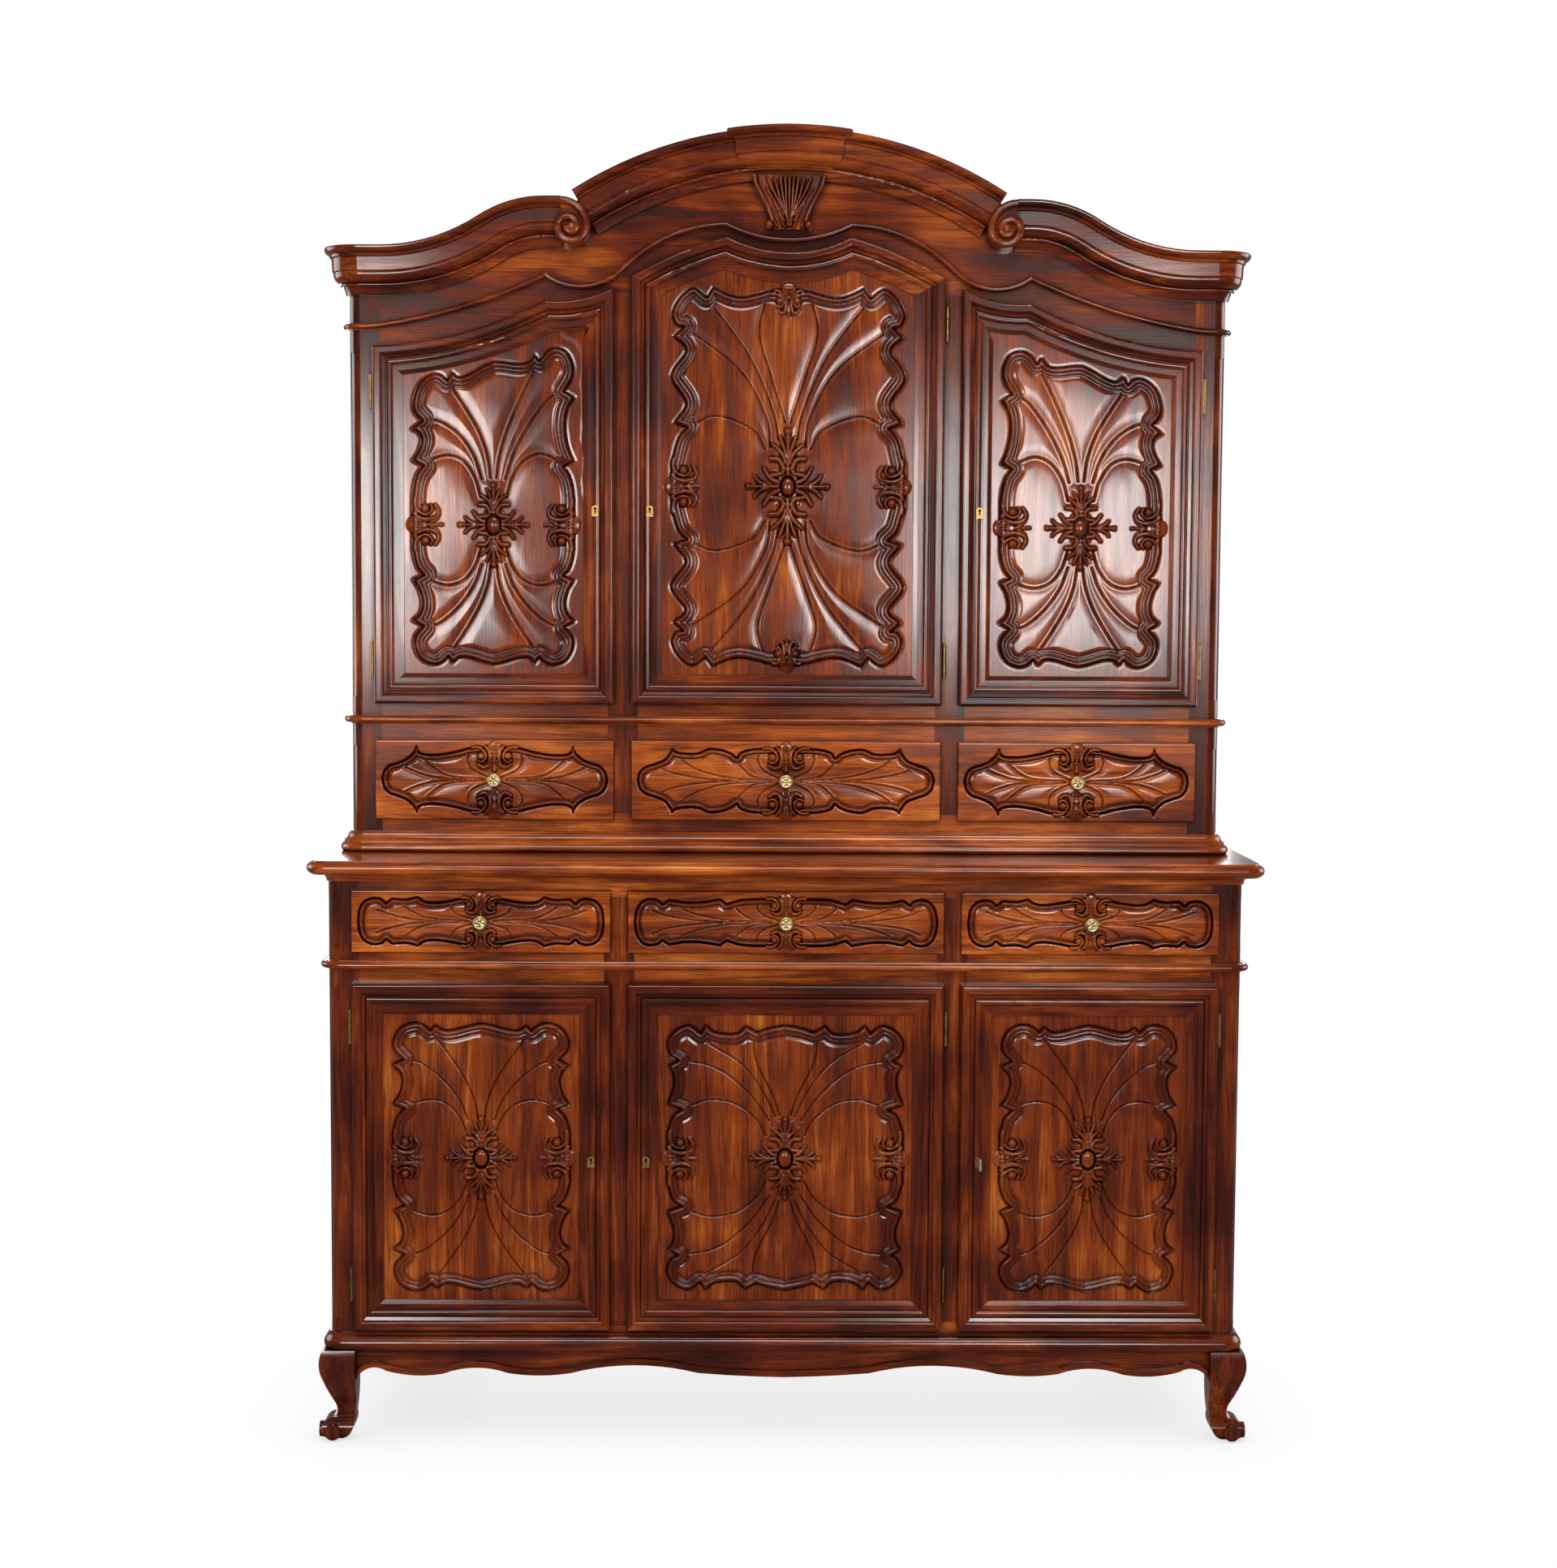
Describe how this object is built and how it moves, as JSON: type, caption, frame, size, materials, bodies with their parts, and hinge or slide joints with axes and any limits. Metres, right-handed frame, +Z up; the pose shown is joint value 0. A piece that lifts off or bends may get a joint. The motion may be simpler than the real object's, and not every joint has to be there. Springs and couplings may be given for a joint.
{
  "type": "two-part cupboard",
  "caption": "Two-part carved cupboard with arched doors and drawers above, doors and drawers below, a scrolled broken-arch cornice and scroll feet.",
  "frame": {"origin": "on the floor under the middle of the counter", "axes": "+Z up, +X to the viewer's right, +Y to the back; the doors and drawers face -Y"},
  "size_m": [1.772, 0.59, 2.466],
  "materials": {
    "carcass_walnut": "satin",
    "door_walnut": "satin",
    "panel_walnut": "satin",
    "inner_wood": "matte",
    "brass": "aged"
  },
  "bodies": {
    "cupboard": {"counter_top": "carcass_walnut", "lower_ends": "carcass_walnut", "lower_face_frame": "carcass_walnut", "lower_back": "inner_wood", "lower_inner_boards": "inner_wood", "plinth_moulding": "carcass_walnut", "lower_mouldings": "carcass_walnut", "apron": "carcass_walnut", "legs": "carcass_walnut", "upper_ends": "carcass_walnut", "upper_face_frame": "carcass_walnut", "upper_back": "inner_wood", "upper_inner_boards": "inner_wood", "upper_mouldings": "carcass_walnut", "frieze_board": "carcass_walnut", "frieze_moulding": "carcass_walnut", "cornice_arch": "carcass_walnut", "cornice_wings": "carcass_walnut", "keystone": "carcass_walnut", "corbel": "carcass_walnut", "case_hinge_halves": "brass"},
    "lower_left_door": {"lower_left_door_frame": "door_walnut", "lower_left_door_panel": "panel_walnut", "lower_left_door_fittings": "brass"},
    "lower_centre_door": {"lower_centre_door_frame": "door_walnut", "lower_centre_door_panel": "panel_walnut", "lower_centre_door_fittings": "brass"},
    "lower_right_door": {"lower_right_door_frame": "door_walnut", "lower_right_door_panel": "panel_walnut", "lower_right_door_fittings": "brass"},
    "upper_left_door": {"upper_left_door_frame": "door_walnut", "upper_left_door_panel": "panel_walnut", "upper_left_door_fittings": "brass"},
    "upper_centre_door": {"upper_centre_door_frame": "door_walnut", "upper_centre_door_panel": "panel_walnut", "upper_centre_door_fittings": "brass"},
    "upper_right_door": {"upper_right_door_frame": "door_walnut", "upper_right_door_panel": "panel_walnut", "upper_right_door_fittings": "brass"},
    "lower_left_drawer": {"lower_left_drawer_front": "panel_walnut", "lower_left_drawer_box": "inner_wood", "lower_left_drawer_knob": "brass"},
    "lower_centre_drawer": {"lower_centre_drawer_front": "panel_walnut", "lower_centre_drawer_box": "inner_wood", "lower_centre_drawer_knob": "brass"},
    "lower_right_drawer": {"lower_right_drawer_front": "panel_walnut", "lower_right_drawer_box": "inner_wood", "lower_right_drawer_knob": "brass"},
    "upper_left_drawer": {"upper_left_drawer_front": "panel_walnut", "upper_left_drawer_box": "inner_wood", "upper_left_drawer_knob": "brass"},
    "upper_centre_drawer": {"upper_centre_drawer_front": "panel_walnut", "upper_centre_drawer_box": "inner_wood", "upper_centre_drawer_knob": "brass"},
    "upper_right_drawer": {"upper_right_drawer_front": "panel_walnut", "upper_right_drawer_box": "inner_wood", "upper_right_drawer_knob": "brass"},
    "lower_right_key": {"lower_right_key": "brass"},
    "lower_right_bolt": {"lower_right_lock_bolt": "brass"}
  },
  "joints": [
    {"name": "lower_left_door_hinge", "type": "hinge", "parent": "cupboard", "child": "lower_left_door", "pos_m": [-0.8125, -0.231, 0.543], "axis": [0, 0, -1], "range_deg": [0, 105]},
    {"name": "lower_centre_door_hinge", "type": "hinge", "parent": "cupboard", "child": "lower_centre_door", "pos_m": [0.2995, -0.231, 0.543], "axis": [0, 0, 1], "range_deg": [0, 90]},
    {"name": "lower_right_door_hinge", "type": "hinge", "parent": "cupboard", "child": "lower_right_door", "pos_m": [0.8125, -0.231, 0.543], "axis": [0, 0, 1], "range_deg": [0, 105]},
    {"name": "upper_left_door_hinge", "type": "hinge", "parent": "cupboard", "child": "upper_left_door", "pos_m": [-0.7855, -0.1055, 1.722], "axis": [0, 0, -1], "range_deg": [0, 105]},
    {"name": "upper_centre_door_hinge", "type": "hinge", "parent": "cupboard", "child": "upper_centre_door", "pos_m": [0.2995, -0.1055, 1.722], "axis": [0, 0, 1], "range_deg": [0, 90]},
    {"name": "upper_right_door_hinge", "type": "hinge", "parent": "cupboard", "child": "upper_right_door", "pos_m": [0.7855, -0.1055, 1.722], "axis": [0, 0, 1], "range_deg": [0, 105]},
    {"name": "lower_left_drawer_slide", "type": "slide", "parent": "cupboard", "child": "lower_left_drawer", "axis": [0, -1, 0], "range_m": [0, 0.36]},
    {"name": "lower_centre_drawer_slide", "type": "slide", "parent": "cupboard", "child": "lower_centre_drawer", "axis": [0, -1, 0], "range_m": [0, 0.36]},
    {"name": "lower_right_drawer_slide", "type": "slide", "parent": "cupboard", "child": "lower_right_drawer", "axis": [0, -1, 0], "range_m": [0, 0.36]},
    {"name": "upper_left_drawer_slide", "type": "slide", "parent": "cupboard", "child": "upper_left_drawer", "axis": [0, -1, 0], "range_m": [0, 0.25]},
    {"name": "upper_centre_drawer_slide", "type": "slide", "parent": "cupboard", "child": "upper_centre_drawer", "axis": [0, -1, 0], "range_m": [0, 0.25]},
    {"name": "upper_right_drawer_slide", "type": "slide", "parent": "cupboard", "child": "upper_right_drawer", "axis": [0, -1, 0], "range_m": [0, 0.25]},
    {"name": "lower_right_key_turn", "type": "hinge", "parent": "lower_right_door", "child": "lower_right_key", "pos_m": [0.363, -0.227, 0.54], "axis": [0, 1, 0], "range_deg": [0, 90]},
    {"name": "lower_right_bolt_throw", "type": "slide", "parent": "lower_right_door", "child": "lower_right_bolt", "axis": [-1, 0, 0], "range_m": [0, 0.01]}
  ],
  "couplings": [
    {"joint": "lower_right_bolt_throw", "follows": "lower_right_key_turn", "m_per_rad": 0.0063598}
  ]
}
